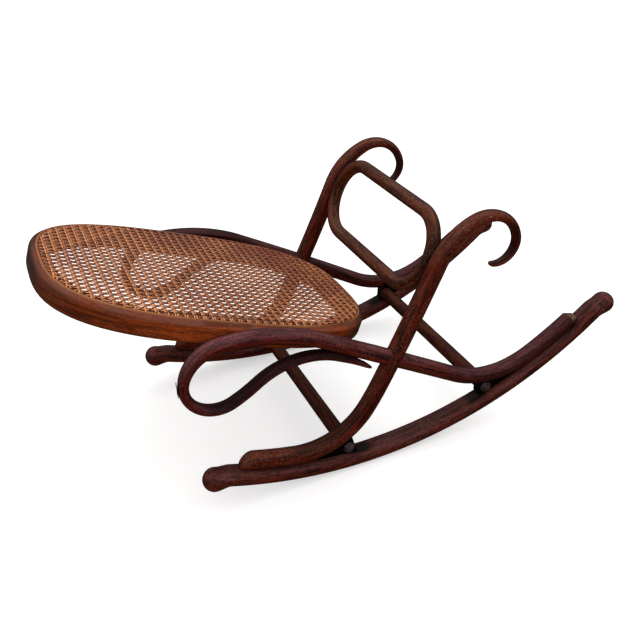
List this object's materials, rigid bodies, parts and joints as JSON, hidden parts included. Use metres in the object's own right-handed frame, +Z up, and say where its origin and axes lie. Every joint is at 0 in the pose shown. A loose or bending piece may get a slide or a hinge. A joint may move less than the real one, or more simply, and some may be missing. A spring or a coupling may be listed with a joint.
{
  "type": "rocking footstool",
  "caption": "Bentwood rocking footstool: curved rockers, crossing scrolls, a rounded hoop, round stretchers and a caned oval seat that slopes.",
  "frame": {"origin": "point of the floor where the rockers rest, midway between the two sides", "axes": "+X level, from the seat toward the hooks; +Y toward the left side; +Z up"},
  "size_m": [0.8887, 0.382, 0.3918],
  "materials": {
    "dark_wood": "worn varnish",
    "light_wood": "worn varnish",
    "cane": "natural rattan",
    "iron": "dull"
  },
  "bodies": {
    "root": {"rocker_left": "dark_wood", "rocker_right": "dark_wood", "upright_scroll_left": "dark_wood", "upright_scroll_right": "dark_wood", "seat_scroll_left": "dark_wood", "seat_scroll_right": "dark_wood", "hoop": "light_wood", "seat_ring": "light_wood", "cane_panel": "cane", "cane_spline": "cane", "front_stretcher": "dark_wood", "rear_stretcher": "dark_wood", "front_wedge_left": "dark_wood", "front_wedge_right": "dark_wood", "rear_wedge_left": "dark_wood", "rear_wedge_right": "dark_wood", "front_bolts": "iron", "rear_bolts": "iron", "front_foot_screws": "iron", "rear_foot_screws": "iron", "crossing_screws": "iron", "hoop_screws": "iron", "ring_screws": "iron"}
  },
  "joints": []
}
